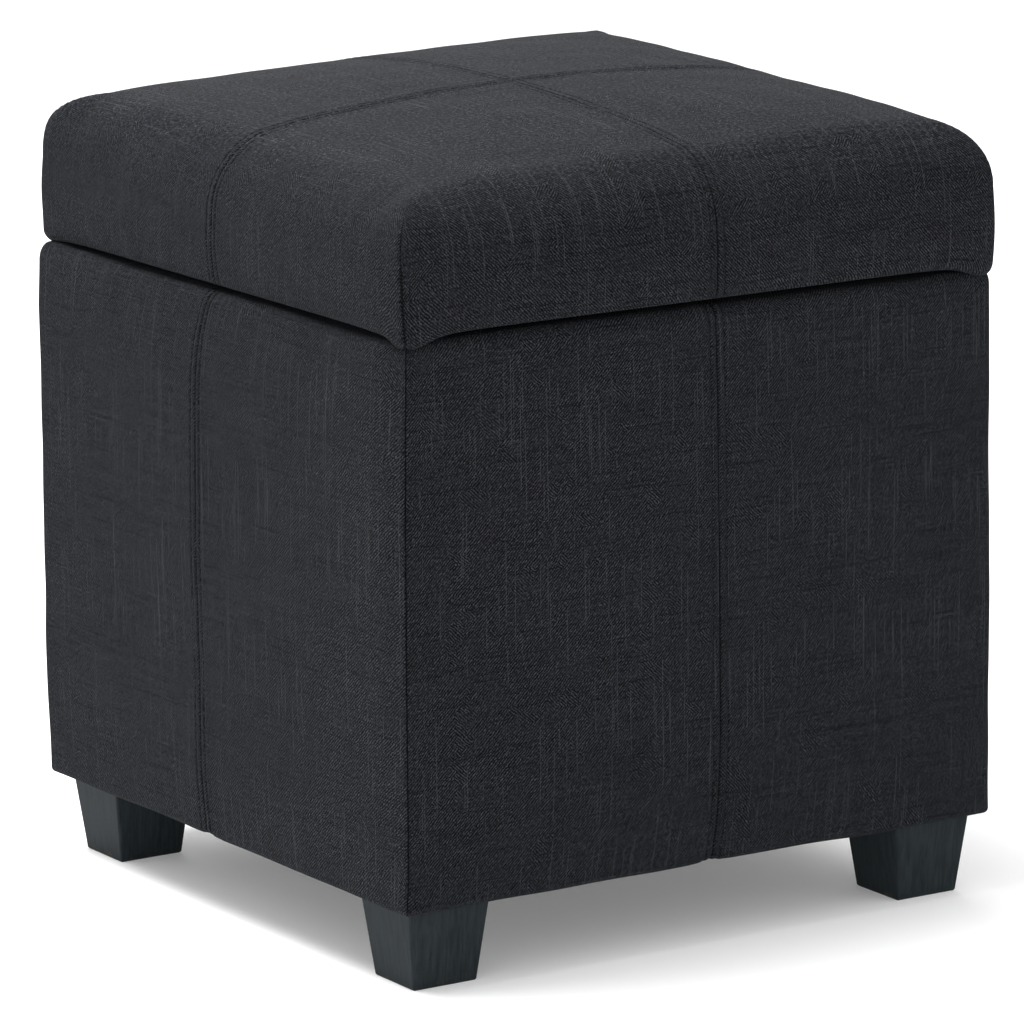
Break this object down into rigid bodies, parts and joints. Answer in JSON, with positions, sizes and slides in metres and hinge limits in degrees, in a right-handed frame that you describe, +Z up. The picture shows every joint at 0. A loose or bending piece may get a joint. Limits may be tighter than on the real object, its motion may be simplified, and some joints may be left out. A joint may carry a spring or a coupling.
{
  "type": "storage ottoman",
  "caption": "Square upholstered storage ottoman on tapered feet, with a padded crowned lid hinged at the back and held open by folding stays.",
  "frame": {"origin": "centre of the footprint on the floor", "axes": "+Z up, front faces -Y, the lid is hinged along +Y, left is -X"},
  "size_m": [0.405, 0.405, 0.476],
  "materials": {
    "cover_cloth": "matte",
    "lining_cloth": "matte",
    "dust_cloth": "matte",
    "foam": "matte",
    "batting": "matte",
    "sheet_board": "matte",
    "foot_wood": "satin",
    "hinge_steel": "satin",
    "stay_steel": "satin",
    "zinc_steel": "satin",
    "screw_steel": "satin",
    "staple_wire": "satin"
  },
  "bodies": {
    "box": {"base_board": "sheet_board", "front_panel": "sheet_board", "back_panel": "sheet_board", "left_panel": "sheet_board", "right_panel": "sheet_board", "panel_screws": "screw_steel", "base_screws": "screw_steel", "front_foam": "foam", "back_foam": "foam", "left_foam": "foam", "right_foam": "foam", "box_cover": "cover_cloth", "box_lining": "lining_cloth", "lining_staples": "staple_wire", "dust_cover": "dust_cloth", "dust_cover_staples": "staple_wire", "foot_hanger_bolts": "zinc_steel", "foot_tee_nuts": "zinc_steel", "hinge_screws_box": "screw_steel", "stay_bracket_screws_box": "screw_steel", "foot_front_left": "foot_wood", "foot_front_right": "foot_wood", "foot_back_left": "foot_wood", "foot_back_right": "foot_wood", "hinge_box_leaf_left": "hinge_steel", "hinge_pin_left": "hinge_steel", "stay_wall_bracket_left": "stay_steel", "stay_wall_rivet_left": "stay_steel", "hinge_box_leaf_right": "hinge_steel", "hinge_pin_right": "hinge_steel", "stay_wall_bracket_right": "stay_steel", "stay_wall_rivet_right": "stay_steel"},
    "lid": {"lid_board": "sheet_board", "lid_foam": "foam", "lid_batting": "batting", "lid_cover": "cover_cloth", "lid_lining": "lining_cloth", "lid_staples": "staple_wire", "hinge_screws_lid": "screw_steel", "stay_bracket_screws_lid": "screw_steel", "hinge_lid_leaf_left": "hinge_steel", "stay_lid_bracket_left": "stay_steel", "stay_lid_rivet_left": "stay_steel", "hinge_lid_leaf_right": "hinge_steel", "stay_lid_bracket_right": "stay_steel", "stay_lid_rivet_right": "stay_steel"},
    "left_lower_arm": {"stay_lower_arm_left": "stay_steel", "stay_elbow_rivet_left": "stay_steel"},
    "left_upper_arm": {"stay_upper_arm_left": "stay_steel"},
    "right_lower_arm": {"stay_lower_arm_right": "stay_steel", "stay_elbow_rivet_right": "stay_steel"},
    "right_upper_arm": {"stay_upper_arm_right": "stay_steel"}
  },
  "joints": [
    {"name": "lid_hinge", "type": "hinge", "parent": "box", "child": "lid", "pos_m": [0, 0.199, 0.3734], "axis": [-1, 0, 0], "range_deg": [0, 100]},
    {"name": "stay_lower_left", "type": "hinge", "parent": "box", "child": "left_lower_arm", "pos_m": [-0.17045, 0.151, 0.2554], "axis": [-1, 0, 0], "range_deg": [0, 100]},
    {"name": "stay_elbow_left", "type": "hinge", "parent": "left_lower_arm", "child": "left_upper_arm", "pos_m": [-0.16845, 0.0346, 0.2434], "axis": [-1, 0, 0], "range_deg": [-100, 0]},
    {"name": "stay_lower_right", "type": "hinge", "parent": "box", "child": "right_lower_arm", "pos_m": [0.17045, 0.151, 0.2554], "axis": [-1, 0, 0], "range_deg": [0, 100]},
    {"name": "stay_elbow_right", "type": "hinge", "parent": "right_lower_arm", "child": "right_upper_arm", "pos_m": [0.16845, 0.0346, 0.2434], "axis": [-1, 0, 0], "range_deg": [-100, 0]}
  ],
  "couplings": [
    {"joint": "stay_lower_left", "follows": "lid_hinge", "ratio": 1},
    {"joint": "stay_elbow_left", "follows": "lid_hinge", "ratio": -1},
    {"joint": "stay_lower_right", "follows": "lid_hinge", "ratio": 1},
    {"joint": "stay_elbow_right", "follows": "lid_hinge", "ratio": -1}
  ]
}
